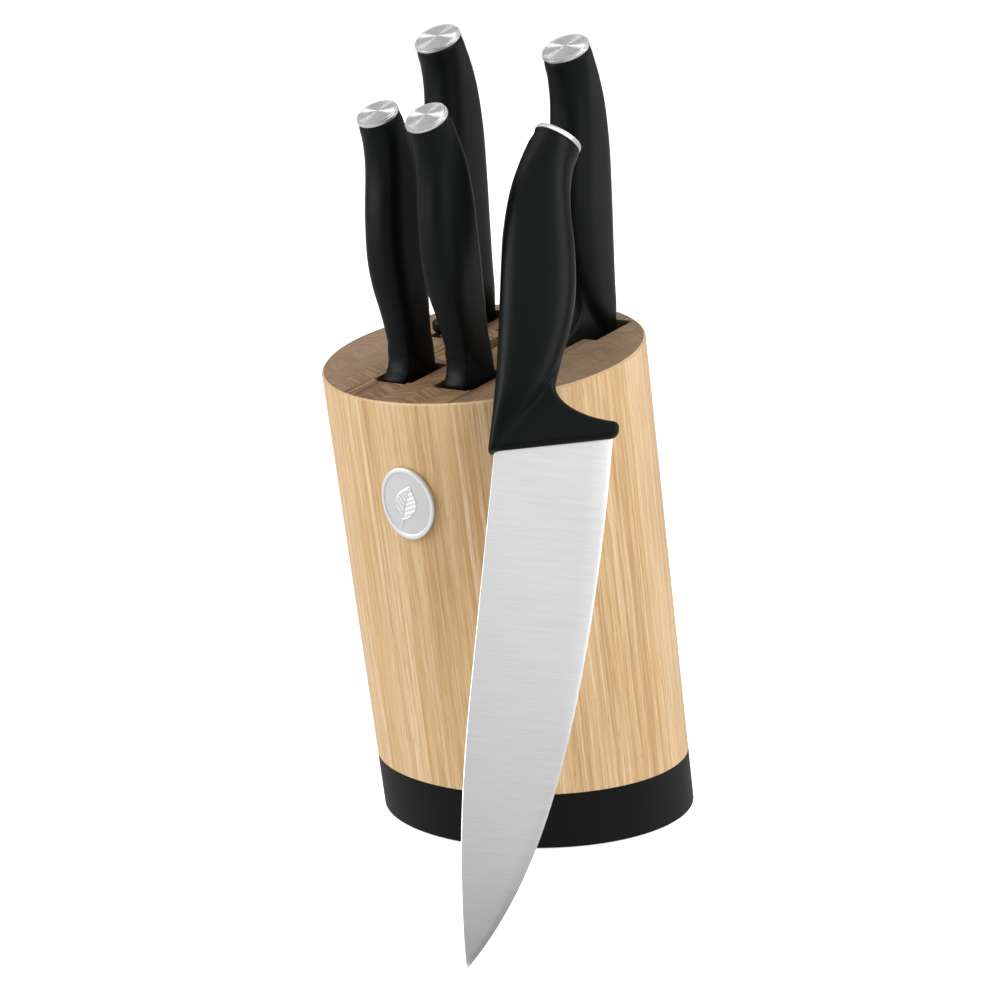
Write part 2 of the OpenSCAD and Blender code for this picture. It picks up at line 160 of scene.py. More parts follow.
class Val:
    """A value or colour in a finish, which sums can be written with."""

    def __init__(self, finish, socket):
        self.finish, self.socket = finish, socket

    def _sum(self, operation, *terms):
        return self.finish.node("ShaderNodeMath", {"operation": operation},
                                dict(enumerate(terms)))

    def __add__(self, other):
        return self._sum("ADD", self, other)

    def __radd__(self, other):
        return self._sum("ADD", other, self)

    def __sub__(self, other):
        return self._sum("SUBTRACT", self, other)

    def __rsub__(self, other):
        return self._sum("SUBTRACT", other, self)

    def __mul__(self, other):
        return self._sum("MULTIPLY", self, other)

    def __rmul__(self, other):
        return self._sum("MULTIPLY", other, self)

    def __truediv__(self, other):
        return self._sum("DIVIDE", self, other)

    def __pow__(self, other):
        return self._sum("POWER", self, other)

    def __gt__(self, other):
        return self._sum("GREATER_THAN", self, other)

    def floor(self):
        return self._sum("FLOOR", self)

    def fract(self):
        return self._sum("FRACT", self)

    def size(self):
        return self._sum("ABSOLUTE", self)

    def step(self, low, high):
        """Runs smoothly from 0 to 1 as the value goes from low to high."""
        return self.finish.node(
            "ShaderNodeMapRange", {"interpolation_type": "SMOOTHSTEP"},
            {"Value": self, "From Min": low, "From Max": high})


class Finish:
    """A material around one Principled shader, with constants set on its own sockets."""

    def __init__(self, name, **constants):
        self.material = bpy.data.materials.new(name)
        self.material.use_nodes = True
        self.tree = self.material.node_tree
        self.shader = self.tree.nodes["Principled BSDF"]
        for socket, value in constants.items():
            self.shader.inputs[socket.replace("_", " ")].default_value = value

    def node(self, kind, settings=None, inputs=None, out=0):
        """Any node: its settings are made first, then its sockets are set or linked."""
        made = self.tree.nodes.new(kind)
        for key, value in (settings or {}).items():
            if key == "stops":
                ramp = made.color_ramp.elements
                while len(ramp) < len(value):
                    ramp.new(0.5)
                for stop, (at, colour) in zip(ramp, value):
                    stop.position, stop.color = at, (*colour, 1)
            else:
                setattr(made, key, value)
        for key, value in (inputs or {}).items():
            socket = made.inputs[key]
            if isinstance(value, Val):
                self.tree.links.new(value.socket, socket)
            elif socket.type == "RGBA" and len(value) == 3:
                socket.default_value = (*value, 1)
            else:
                socket.default_value = value
        return Val(self, made.outputs[out])

    def place(self):
        """Coordinates in the shared frame, in metres, which go along with the piece."""
        return self.node("ShaderNodeTexCoord", out="Object")

    def own_place(self):
        """Coordinates in the frame in which a new piece was drawn, in metres."""
        return self.node("ShaderNodeAttribute", {"attribute_name": "own"}, out="Vector")

    def parts(self, vector):
        made = self.node("ShaderNodeSeparateXYZ", None, {0: vector}).socket.node
        return [Val(self, made.outputs[i]) for i in range(3)]

    def joined(self, x, y, z):
        return self.node("ShaderNodeCombineXYZ", None, {0: x, 1: y, 2: z})

    def scaled(self, vector, factors):
        return self.node("ShaderNodeVectorMath", {"operation": "MULTIPLY"},
                         {0: vector, 1: factors})

    def noise(self, vector, factors=(1, 1, 1), detail=2.0, roughness=0.5, distortion=0.0):
        return self.node("ShaderNodeTexNoise", None,
                         {"Vector": self.scaled(vector, factors), "Scale": 1.0,
                          "Detail": detail, "Roughness": roughness,
                          "Distortion": distortion})

    def mix(self, factor, a, b):
        """Colour a where the factor is 0, colour b where it is 1."""
        made = self.node("ShaderNodeMix", {"data_type": "RGBA"}, {0: factor, 6: a, 7: b})
        return Val(self, made.socket.node.outputs[2])

    def ramp(self, value, *stops):
        return self.node("ShaderNodeValToRGB", {"stops": stops}, {0: value})

    def feed(self, **sockets):
        for name, value in sockets.items():
            self.tree.links.new(value.socket, self.shader.inputs[name.replace("_", " ")])
        return self

    def bump(self, height, strength, distance):
        return self.feed(Normal=self.node(
            "ShaderNodeBump", None,
            {"Height": height, "Strength": strength, "Distance": distance}))


# ------------------------------------------------------------------ finishes

def bamboo_finish():
    """Lacquered bamboo boards: long fibres on the sides, crossed end grain on top."""
    f = Finish("lacquered_bamboo", Specular_IOR_Level=0.35, Coat_Roughness=0.32)
    grain = f.node("ShaderNodeVectorRotate", {"rotation_type": "X_AXIS"},
                   {"Vector": f.place(), "Angle": -LEAN})
    u, v, w = f.parts(grain)
    board = sum((u > seam * MM for seam in SEAMS[1:]), u > SEAMS[0] * MM)
    moved = f.joined(u + board * 0.37, v, w + board * 0.61)     # each board its own grain

    # sides: lamellas, fibres, pores and growth nodes, all drawn out along the boards
    lamella = f.node("ShaderNodeTexWhiteNoise", {"noise_dimensions": "2D"},
                     {"Vector": f.joined((u / (STRIP_W * MM)).floor(),
                                         (v / (STRIP_T * MM)).floor(), 0.0)})
    bands = f.noise(moved, (230, 230, 3.0), 3, 0.55, 0.3)
    fibres = f.noise(moved, (900, 900, 12), 3, 0.62, 0.6)
    fine = f.noise(moved, (2600, 2600, 60), 2, 0.6)
    pores = f.noise(moved, (1700, 1700, 120), 2, 0.5).step(0.6, 0.68)
    streaks = f.noise(moved, (640, 640, 11), 2, 0.5, 0.9).step(0.55, 0.66)
    lines = f.noise(moved, (1250, 1250, 17), 2, 0.5, 0.8).step(0.54, 0.63)
    knots = f.node("ShaderNodeTexVoronoi", {"feature": "F1"},
                   {"Vector": f.scaled(moved, (42, 42, 9)), "Scale": 1.0}).step(0.16, 0.04)
    tone = (bands * 0.34 + fibres * 0.4 + fine * 0.26 + (lamella - 0.5) * 0.05)
    side = f.ramp(tone, (0.40, (0.48, 0.29, 0.125)), (0.47, (0.62, 0.41, 0.21)),
                  (0.53, (0.70, 0.49, 0.275)), (0.60, (0.79, 0.6, 0.385)))
    side = f.mix(streaks * 0.36, side, (0.5, 0.3, 0.12))
    side = f.mix(lines * 0.44, side, (0.47, 0.26, 0.095))
    warm = f.noise(moved, (150, 150, 2.2), 2, 0.5, 0.4).step(0.5, 0.62)
    side = f.mix(warm * 0.3, side, (0.6, 0.37, 0.145))
    side = f.mix(pores * 0.34, side, (0.36, 0.2, 0.08))
    side = f.mix(knots * 0.3, side, (0.34, 0.19, 0.075))
    # wood inside the block's radius, the walls of the slots, is made near black: painted
    # shade of the deep slots
    inside = ((u * u + v * v) ** 0.5).step((BLOCK_R - 2.5) * MM, (BLOCK_R - 4) * MM)
    side = f.mix(inside * 0.85, side, (0.055, 0.026, 0.01))     # painted shade on the milled walls of the slots

    # top: strips of end grain, some hatched one way or the other and some plain
    strip_at = u / (STRIP_W * MM) + 0.36
    strip, across = strip_at.floor(), strip_at.fract()
    way = (strip * 0.5).fract() * 4 - 1
    hatch_at = v + way * u * 0.5
    hatch = f.noise(f.joined(u * 60, hatch_at * 560, strip * 3.7), (1, 1, 1), 2, 0.55, 0.2)
    rough_cut = f.noise(grain, (1500, 1500, 40), 2, 0.6)
    along = f.noise(f.joined(u * 620, v * 26, strip * 1.9), (1, 1, 1), 2, 0.5, 0.3)
    plain = f.node("ShaderNodeTexWhiteNoise", {"noise_dimensions": "1D"},
                   {"W": strip + 5.5})
    hatched = plain.step(0.3, 0.34)
    ends_tone = (hatched * hatch + (1 - hatched) * along) * 0.8 + rough_cut * 0.2
    ends = f.ramp(ends_tone, (0.38, (0.07, 0.03, 0.009)), (0.47, (0.14, 0.069, 0.026)),
                  (0.54, (0.2, 0.108, 0.046)), (0.64, (0.3, 0.18, 0.088)))
    # the end grain is lightened towards the top's left and right ends: painted highlight of
    # lamp glare
    outer = f.mix(0.45, ends, (0.31, 0.225, 0.15))
    ends = f.mix(u.size().step(0.016, 0.046), ends, outer)
    seam = (across - 0.5).size().step(0.465, 0.5)
    ends = f.mix(seam * 0.55, ends, (0.075, 0.038, 0.018))
    ends = f.mix(plain.step(0.2, 0.9) * 0.3, ends, (0.3, 0.195, 0.115))

    facing = f.node("ShaderNodeVectorMath", {"operation": "DOT_PRODUCT"},
                    {0: f.node("ShaderNodeNewGeometry", out="Normal"),
                     1: (0, -math.sin(LEAN), math.cos(LEAN))}, out="Value").size()
    cut = facing.step(0.62, 0.86)
    rim = facing.step(0.3, 0.5) * facing.step(0.92, 0.8)
    colour = f.mix(rim * 0.3, f.mix(cut, side, ends), (0.6, 0.44, 0.27))
    f.feed(Base_Color=colour, Roughness=0.44 + fibres * 0.12 + cut * 0.12,
           Coat_Weight=0.1 - cut * 0.07)
    return f.bump((1 - cut) * (fibres + fine * 0.6) + cut * hatch - pores * 0.5, 0.22,
                  0.00035).material


def black_plastic(name, colour, roughness, grain, strength):
    """Matte black moulding: fine spark-eroded grain and faint handling marks."""
    f = Finish(name, Specular_IOR_Level=0.115)
    marks = f.noise(f.place(), (38, 38, 38), 4, 0.6)
    dust = f.noise(f.place(), (900, 900, 900), 2, 0.5)
    f.feed(Base_Color=f.mix(marks, tuple(c * 0.85 for c in colour),
                            tuple(c * 1.2 for c in colour)),
           Roughness=roughness + marks * 0.08 + dust * 0.05 - 0.06)
    pits = f.noise(f.place(), (grain, grain, grain), 2, 0.6)
    return f.bump(pits, strength, 0.00008).material


def blade_finish():
    """Stainless blade with a satin grind that runs from the spine to the edge."""
    f = Finish("satin_blade", Metallic=1.0)
    place = f.own_place()
    lines = f.noise(place, (300, 110, 5200), 3, 0.65)
    long_lines = f.noise(place, (60, 12, 900), 2, 0.5)
    cloud = f.noise(place, (16, 16, 16), 2, 0.5)
    tone = lines * 0.55 + long_lines * 0.25 + cloud * 0.2
    steel = f.ramp(tone, (0.3, (0.72, 0.72, 0.725)), (0.7, (0.85, 0.85, 0.85)))
    painted_tip_shade = f.parts(place)[2].step(-0.15, -0.2)       # painted shade towards the tip of a long blade, standing in for the darker reflection there
    # the blade's colour is mixed towards dark grey near the tip: painted shade
    f.feed(Base_Color=f.mix(painted_tip_shade * 0.42, steel, (0.34, 0.34, 0.345)),
           Roughness=0.25 + lines * 0.1 + cloud * 0.05)
    return f.bump(lines, 0.12, 0.00006).material


def turned_finish():
    """End caps: polished side, and a face with fine turned rings round the middle; the face's
    darker colour is painted shade.
    """
    f = Finish("turned_cap", Metallic=1.0, Anisotropic=0.95)
    x, y, z = f.parts(f.own_place())
    out = (x * x + y * y) ** 0.5
    rings = f.noise(f.joined(out * 4200, 0.0, z * 2500), (1, 1, 1), 2, 0.7)
    wide = f.noise(f.joined(out * 900, 3.0, 0.0), (1, 1, 1), 2, 0.5)
    face = z.step(-0.0006, -0.0003)         # the turned face, not the side
    shade = rings * 0.55 + wide * 0.45
    # the face gets a darker steel colour than the side: painted shade; its rings and
    # roughness are its own turned finish
    dull = f.ramp(shade, (0.35, (0.47, 0.47, 0.475)), (0.65, (0.62, 0.62, 0.62)))
    f.feed(Base_Color=f.mix(face, (0.68, 0.68, 0.68), dull),
           Roughness=0.3 + face * 0.15 + rings * 0.06)
    return f.bump(rings, 0.1, 0.00004).material


def badge_finish():
    """Cast badge: satin ground, polished where it stands up."""
    f = Finish("satin_badge", Metallic=0.9)
    place = f.place()
    speck = f.noise(place, (2600, 2600, 2600), 3, 0.65)
    cloud = f.noise(place, (120, 120, 120), 3, 0.55)
    height = f.node("ShaderNodeAttribute", {"attribute_name": "raised"}, out="Fac")
    f.feed(Base_Color=f.mix(height, (0.68, 0.68, 0.68), (0.86, 0.86, 0.86)),
           Roughness=0.5 - height * 0.16 + speck * 0.1 + cloud * 0.05)
    return f.bump(speck, 0.2, 0.00006).material


def zinc_finish():
    """Zinc-plated screws with a faint spangle."""
    f = Finish("zinc_screw", Metallic=1.0)
    spangle = f.noise(f.place(), (700, 700, 700), 3, 0.6)
    f.feed(Base_Color=f.mix(spangle, (0.5, 0.5, 0.52), (0.72, 0.72, 0.74)),
           Roughness=0.3 + spangle * 0.2)
    return f.bump(spangle, 0.1, 0.0001).material


def rubber_finish():
    """Anti-slip pad: dull sheet with small raised dots."""
    f = Finish("pad_rubber", Specular_IOR_Level=0.25)
    dots = f.node("ShaderNodeTexVoronoi", {"feature": "F1"},
                  {"Vector": f.scaled(f.place(), (450, 450, 450)), "Scale": 1.0,
                   "Randomness": 0.15}).step(0.45, 0.2)
    dust = f.noise(f.place(), (60, 60, 60), 3, 0.6)
    f.feed(Base_Color=f.mix(dust, (0.012, 0.012, 0.012), (0.028, 0.027, 0.026)),
           Roughness=0.75 + dust * 0.15)
    return f.bump(dots, 0.5, 0.0003).material


def foam_finish():
    """Grey foam of the badge's adhesive pad, with its cells."""
    f = Finish("adhesive_foam", Specular_IOR_Level=0.2)
    cells = f.node("ShaderNodeTexVoronoi", {"feature": "F1"},
                   {"Vector": f.scaled(f.place(), (2200, 2200, 2200)), "Scale": 1.0})
    f.feed(Base_Color=f.mix(cells, (0.05, 0.05, 0.05), (0.16, 0.16, 0.16)),
           Roughness=0.85 + cells * 0.1)
    return f.bump(cells, 0.4, 0.0002).material


# ------------------------------------------------------------------ curves

LINE_STEPS = 8


def smooth_line(points):
    """A smooth line through the points, with LINE_STEPS pieces from one to the next."""
    out = []
    for i in range(len(points) - 1):
        a, b = points[max(i - 1, 0)], points[i]
        c, d = points[i + 1], points[min(i + 2, len(points) - 1)]
        for k in range(LINE_STEPS):
            t = k / LINE_STEPS
            out.append(tuple(
                0.5 * (2 * q + (r - p) * t + (2 * p - 5 * q + 4 * r - s) * t * t
                       + (3 * q - p - 3 * r + s) * t ** 3)
                for p, q, r, s in zip(a, b, c, d)))
    return out + [tuple(points[-1])]


def read_at(line, z):
    """What a line of (value, z) says at z."""
    if z <= line[0][1]:
        return line[0][0]
    for (a, za), (b, zb) in zip(line, line[1:]):
        if z <= zb:
            return a + (b - a) * (z - za) / max(zb - za, 1e-9)
    return line[-1][0]


def ease(t):
    """Goes smoothly from 0 to 1 with t, and stays there outside."""
    t = min(max(t, 0.0), 1.0)
    return t * t * (3 - 2 * t)


def soft_max(a, b, blend):
    """The larger of a and b, with a rounded hollow where they are about the same."""
    blend = blend * min(1.0, max(a, b))
    if blend <= 0:
        return max(a, b)
    near = max(blend - abs(a - b), 0) / blend
    return max(a, b) + near * near * blend / 4


# ------------------------------------------------------------------ moulded handles

# The lines give (value, height), both as shares: the spine and the belly of the widest
# belly, the cheek of the greatest half thickness, and the height of the handle's length.
SPINE_LINE = smooth_line([(-.08, 0), (-.07, .2), (-.1, .37), (-.15, .56), (-.17, .68),
                          (-.13, .81), (-.01, .93), (.16, 1.04), (.24, 1.08)])
BELLY_LINE = smooth_line([(.72, .03), (.71, .2), (.755, .3), (.835, .4), (.86, .51),
                          (.8, .64), (.7, .76), (.665, .85), (.7, .93), (.78, .98),
                          (.84, 1.03)])
CHEEK_LINE = smooth_line([(.66, 0), (.72, .1), (.86, .25), (.98, .45), (1, .62), (.97, .8),
                          (.98, .9), (1, 1.1)])
NOSE_TOP, NOSE_LOW = 2.4, 3.0       # most that the corner radii at the guard's tip may be
SPINE_CORNER = 1.5                  # corner radius at the foot of the spine
HEEL_SHARE = 0.08                   # how far the guard stands out behind the blade
CAP_PROUD = 0.12                    # the cap is this much wider than the butt
END_RUN = 6                         # the outline turns to the cap over this height
ROUND_RUN, ROUND_END = 30, 0.17     # run over which the section and the cheeks do so
SECTION_POWER = 3.0                 # rounded oblong; 2 would be an ellipse
FACE_GAP = 0.105                    # flat face left in front of the round grip
FACE_START, FACE_END = 0.93, 1.5    # heights, as shares of the guard's, where it ends
PLATE_R, PLATE_BLEND, PLATE_FADE = 1.7, 1.3, 18
GRIP_COLUMNS, ARM_COLUMNS, NOSE_COLUMNS, GUARD_ROWS, GRIP_ROWS = 30, 16, 10, 26, 64


class Moulding:
    """Shape of one handle in its side view, and its half thickness over that view."""

    def __init__(self, kind):
        self.kind = k = kind
        self.back = HEEL_SHARE * k.belly
        self.end_level = k.length - CAP_T / math.cos(BUTT_SLOPE)
        self.mid = k.belly * BUTT_SHARE
        self.end_mid = self.mid - CAP_T * math.sin(BUTT_SLOPE)
        self.end_half = (k.cap_r - CAP_PROUD) * math.cos(BUTT_SLOPE)
        self.nose_low = min(NOSE_LOW, 0.7 * (k.guard - k.neck))
        self.nose_top = min(NOSE_TOP, 0.5 * (k.guard - k.neck))
        self.outline = self.guard_outline()

    def low(self, y):
        """Underside of the guard."""
        k = self.kind
        flat = k.guard - GUARD_NOSE
        z = k.slope * (y + self.back) * flat / (flat + self.back)
        over = y - (k.guard - self.nose_low)
        if over > 0:
            z += self.nose_low - math.sqrt(max(self.nose_low ** 2 - over ** 2, 0))
        return z

    def high(self, y):
        """Upper edge of the guard, from the neck out to its tip."""
        k = self.kind
        if y <= k.neck:
            return k.top
        a = math.acos(max(-1, min(1, 1 - (y - k.neck) / (k.guard - k.neck))))
        z = k.top - k.flare * math.sin(a)
        over = y - (k.guard - self.nose_top)
        if over > 0:
            z -= self.nose_top - math.sqrt(max(self.nose_top ** 2 - over ** 2, 0))
        return z

    def arm_places(self):
        """Places across the guard in front of the neck, closer together at its tip."""
        k = self.kind
        reach = k.guard - k.neck - self.nose_low
        out = [k.neck + reach * (1 - math.cos(math.pi * i / ARM_COLUMNS)) / 2
               for i in range(1, ARM_COLUMNS + 1)]
        return out + [k.guard - self.nose_low * (1 - math.sin(math.pi / 2 * i / NOSE_COLUMNS))
                      for i in range(1, NOSE_COLUMNS + 1)]

    def guard_outline(self):
        """Edge of the guard region, as a closed run of points."""
        k = self.kind
        first = SPINE_CORNER - self.back
        ys = [first + (k.guard - first) * i / 60 for i in range(61)]
        ys += [k.guard - self.nose_low * (1 - math.sin(math.pi / 2 * i / 10))
               for i in range(11)]
        under = [(y, self.low(y)) for y in sorted(ys)]
        arm = sorted(self.arm_places()
                     + [k.guard - self.nose_top * (1 - math.sin(math.pi / 2 * i / 10))
                        for i in range(11)], reverse=True)
        over = [(y, self.high(y)) for y in arm]
        up = [(self.belly(k.top + i * 2.5), k.top + i * 2.5) for i in range(14)]
        down = [(self.spine(z), z) for z in (k.top + 30, k.top + 15, k.top, k.top * 0.6,
                                             k.top * 0.3, SPINE_CORNER, 0.7, 0.25, 0.05, 0)]
        return under + over + up + down

    def near_end(self, y, z, run):
        """Goes from 0 to 1 over the last run of the grip, square to the sloping butt."""
        return ease((z + math.tan(BUTT_SLOPE) * (y - self.mid) - self.end_level) / run + 1)

    def spine(self, z):
        """Where the back of the handle is at a height."""
        k = self.kind
        y = k.belly * read_at(SPINE_LINE, z / k.length)
        y += (self.end_mid - self.end_half - y) * self.near_end(y, z, END_RUN)
        over = SPINE_CORNER - z
        if over > 0:
            y += SPINE_CORNER - math.sqrt(max(SPINE_CORNER ** 2 - over ** 2, 0))
        return y

    def belly(self, z):
        """Where the front of the grip is at a height."""
        k = self.kind
        y = k.belly * read_at(BELLY_LINE, z / k.length)
        y -= k.trim * (1 - ease(z / (0.42 * k.length) - 0.2))
        return y + (self.end_mid + self.end_half - y) * self.near_end(y, z, END_RUN)

    def grip_limit(self, z):
        """How far the round grip reaches towards the edge; the flat guard face goes on."""
        k = self.kind
        share = z / k.top
        gap = FACE_GAP * k.belly
        if share >= FACE_END:
            return self.belly(z)
        if share > FACE_START:
            left = (FACE_END - share) / (FACE_END - FACE_START)
            return self.belly(max(z, k.top)) - gap * left * left
        return 0.5 + (k.neck - gap - 0.5) * max(share, 0) / FACE_START

    def edge_gap(self, y, z):
        """Distance from a point to the edge of the guard region."""
        best = 9.0
        for (ay, az), (by, bz) in zip(self.outline, self.outline[1:]):
            dy, dz = by - ay, bz - az
            run = dy * dy + dz * dz
            t = 0 if run < 1e-12 else max(0, min(1, ((y - ay) * dy + (z - az) * dz) / run))
            best = min(best, math.hypot(y - ay - dy * t, z - az - dz * t))
        return best

    def half_at(self, y, z):
        """Half thickness of the handle at a place in its side view."""
        k = self.kind
        start, stop = self.spine(z), self.grip_limit(z)
        middle, reach = (start + stop) / 2, (stop - start) / 2
        aside = min(abs(y - middle) / reach, 1.0)
        power = SECTION_POWER - self.near_end(y, z, ROUND_RUN)
        round_share = (1 - aside ** power) ** (1 / power)
        thick = k.half * read_at(CHEEK_LINE, z / k.length)
        thick += (k.cap_r - CAP_PROUD - thick) * self.near_end(y, z, ROUND_END * k.length)
        if z < k.top:
            thick *= 0.5 + 0.5 * ease(z / k.top + 0.12)
        grip = thick * round_share
        fade = 1 - ease((z - k.top) / PLATE_FADE)
        if fade <= 0:
            return grip
        inside = min(self.edge_gap(y, z) / PLATE_R, 1.0)
        plate = k.guard_half * fade * math.sqrt(1 - (1 - inside) ** 2)
        return soft_max(grip, plate, PLATE_BLEND)


def ring_ends(shape, level, slope):
    """Where a sloped section through the grip meets the spine and the belly."""
    start, stop = shape.spine(level), shape.belly(level)
    for _ in range(12):
        start = shape.spine(level + slope * (start - shape.mid))
        stop = shape.belly(level + slope * (stop - shape.mid))
    return start, stop


def handle_mesh(kind):
    """Guard and grip in rows from the blade up to the butt, mirrored on the blade's plane."""
    shape = Moulding(kind)
    k = kind
    rows = []           # rows of (y, z, half thickness)
    share = [(1 - math.cos(math.pi * j / GRIP_COLUMNS)) / 2 for j in range(GRIP_COLUMNS + 1)]
    for i in range(GUARD_ROWS + 1):
        rise = (1 - math.cos(math.pi * i / GUARD_ROWS)) / 2
        row = []
        places = [None] * (GRIP_COLUMNS + 1) + shape.arm_places()
        for j, y in enumerate(places):
            if y is None:
                z = k.top * rise
                start = shape.spine(z)
                y = start + (k.neck - start) * share[j]
            z = shape.low(y) + (shape.high(y) - shape.low(y)) * rise
            edge = (i == 0 or j == 0 or j == len(places) - 1
                    or (i == GUARD_ROWS and j >= GRIP_COLUMNS))
            row.append((y, z, 0.0 if edge else shape.half_at(y, z)))
        rows.append(row)
    end_slope = -math.tan(BUTT_SLOPE)
    for i in range(1, GRIP_ROWS + 1):
        t = i / GRIP_ROWS
        level = k.top + (shape.end_level - k.top) * t
        slope = end_slope * ease((level - k.top * 1.3) / (shape.end_level - k.top * 1.3))
        start, stop = ring_ends(shape, level, slope)
        row = []
        for j in range(GRIP_COLUMNS + 1):
            y = start + (stop - start) * share[j]
            z = level + slope * (y - shape.mid)
            edge = j in (0, GRIP_COLUMNS)
            row.append((y, z, 0.0 if edge else shape.half_at(y, z)))
        rows.append(row)
    last = rows[-1]
    centre_y = (last[0][0] + last[-1][0]) / 2
    centre_z = (last[0][1] + last[-1][1]) / 2
    for inset, lift in ((0.12, 0.18), (0.4, 0.3), (1.2, 0.32)):     # rounded lip at the butt
        keep = 1 - inset / k.cap_r
        rows.append([(centre_y + (y - centre_y) * keep,
                      centre_z + (z - centre_z) * keep + lift, half * keep)
                     for y, z, half in last])
    verts, index = [], {}
    for i, row in enumerate(rows):
        for j, (y, z, half) in enumerate(row):
            index[i, j, 1] = len(verts)
            verts.append((half, y, z))
            if half == 0.0:
                index[i, j, -1] = index[i, j, 1]
            else:
                index[i, j, -1] = len(verts)
                verts.append((-half, y, z))
    faces = []

    def add(loop):
        loop = [a for n, a in enumerate(loop) if a != loop[n - 1]]
        if len(loop) > 2:
            faces.append(loop)

    for i in range(len(rows) - 1):
        for j in range(min(len(rows[i]), len(rows[i + 1])) - 1):
            corners = [(i, j), (i, j + 1), (i + 1, j + 1), (i + 1, j)]
            add([index[a, b, 1] for a, b in corners])
            add([index[a, b, -1] for a, b in reversed(corners)])
    top = len(rows) - 1
    add([index[top, j, 1] for j in range(GRIP_COLUMNS + 1)]
        + [index[top, j, -1] for j in range(GRIP_COLUMNS - 1, 0, -1)])
    return verts, faces


# ------------------------------------------------------------------ ground blades

SCALLOP_R, SCALLOP_PITCH, SCALLOP_DEPTH, SCALLOP_FIRST, SCALLOP_SHARE = 5, 8, 1.2, 14, 0.72
BEVEL_W, BEVEL_HALF, EDGE_HALF = 1.25, 0.3, 0.03
WAVY_STEPS, PLAIN_STEPS, LAST_STEP = 394, 150, 0.9985
CHAMFER, GRIND_AT = 0.25, 0.12      # spine's rounding, and where the grind starts


def edge_share(form, t):
    """Where the edge is at a share of the blade's length, as a share of its width."""
    return 1 - form[1] * t ** 2 - (1 - form[0] - form[1]) * t ** 6


def spine_share(form, t):
    """Where the spine is at a share of the blade's length, as a share of its width."""
    return form[0] * max(0.0, (t - form[2]) / (1 - form[2])) ** 2.5


def scallop(along):
    """How deep the bread knife's edge is cut at a place along it."""
    count = math.floor(LONG_BLADE * SCALLOP_SHARE / SCALLOP_PITCH)
    n = round((along - SCALLOP_FIRST) / SCALLOP_PITCH)
    off = along - SCALLOP_FIRST - n * SCALLOP_PITCH
    if not 0 <= n < count:
        return 0.0
    return max(0.0, SCALLOP_DEPTH - (SCALLOP_R - math.sqrt(SCALLOP_R ** 2 - off ** 2)))


def blade_mesh(kind, form, w, length, thick, wavy):
    """Tapered blade with a rounded spine and its own narrow bevel along the edge."""
    steps = WAVY_STEPS if wavy else PLAIN_STEPS
    full = thick / 2
    rows = []
    shares = [0.0] + [1 - (1 - i / steps) ** 1.25 for i in range(1, steps)] + [LAST_STEP]
    for t in [None] + shares:           # None is the end that is moulded into the handle
        along = 0 if t is None else t
        spine, edge = w * spine_share(form, along), w * edge_share(form, along)
        if wavy:
            edge -= scallop(along * length)
        half = full * (1 - 0.5 * along ** 1.6)
        span = edge - spine
        bevel = min(BEVEL_W, span * 0.35)
        thin = min(BEVEL_HALF, half * 0.8)
        chamfer = min(CHAMFER, span * 0.1)
        across = [(spine, half * 0.55), (spine + chamfer * 0.35, half * 0.86),
                  (spine + chamfer, half)]
        for s in (0.06, GRIND_AT, 0.3, 0.5, 0.7, 0.85):
            y = spine + chamfer + (edge - bevel - spine - chamfer) * s
            ground = max(0.0, (s - GRIND_AT) / (1 - GRIND_AT))
            across.append((y, half + (thin - half) * ground))
        across += [(edge - bevel, thin), (edge, EDGE_HALF)]
        row = []
        for y, x in across:
            z = -along * length if t is not None else BLADE_SEAT + kind.slope * y
            row.append((x, y, z))
        rows.append(row)
    width = len(rows[0])
    verts = [v for row in rows for x, y, z in row for v in ((x, y, z), (-x, y, z))]

    def at(i, j, side):
        return (i * width + j) * 2 + side

    faces = []
    for i in range(len(rows) - 1):
        for j in range(width - 1):
            faces.append([at(i, j, 0), at(i, j + 1, 0), at(i + 1, j + 1, 0), at(i + 1, j, 0)])
            faces.append([at(i, j, 1), at(i + 1, j, 1), at(i + 1, j + 1, 1), at(i, j + 1, 1)])
        faces.append([at(i, 0, 1), at(i, 0, 0), at(i + 1, 0, 0), at(i + 1, 0, 1)])
        last = width - 1
        faces.append([at(i, last, 0), at(i, last, 1), at(i + 1, last, 1), at(i + 1, last, 0)])
    for i, ends in ((0, 1), (len(rows) - 1, 0)):
        loop = [at(i, j, 0) for j in range(width)]
        loop += [at(i, j, 1) for j in reversed(range(width))]
        faces.append(loop[::-1] if ends else loop)
    return verts, faces


# ------------------------------------------------------------------ turned caps

CAP_POINTS, GROOVE = 96, 0.9


def lathe_mesh(profile):
    """Turns (radius, height) round the axis; the first and last points lie on it."""
    verts, faces, rings = [], [], []
    for r, z in profile:
        if r == 0:
            rings.append([len(verts)] * CAP_POINTS)
            verts.append((0, 0, z))
        else:
            rings.append(list(range(len(verts), len(verts) + CAP_POINTS)))
            angles = [2 * math.pi * i / CAP_POINTS for i in range(CAP_POINTS)]
            verts += [(r * math.cos(a), r * math.sin(a), z) for a in angles]
    for low, high in zip(rings, rings[1:]):
        for i in range(CAP_POINTS):
            n = (i + 1) % CAP_POINTS
            loop = [low[i], low[n], high[n], high[i]]
            loop = [a for m, a in enumerate(loop) if a != loop[m - 1]]
            faces.append(loop)
    return verts, faces


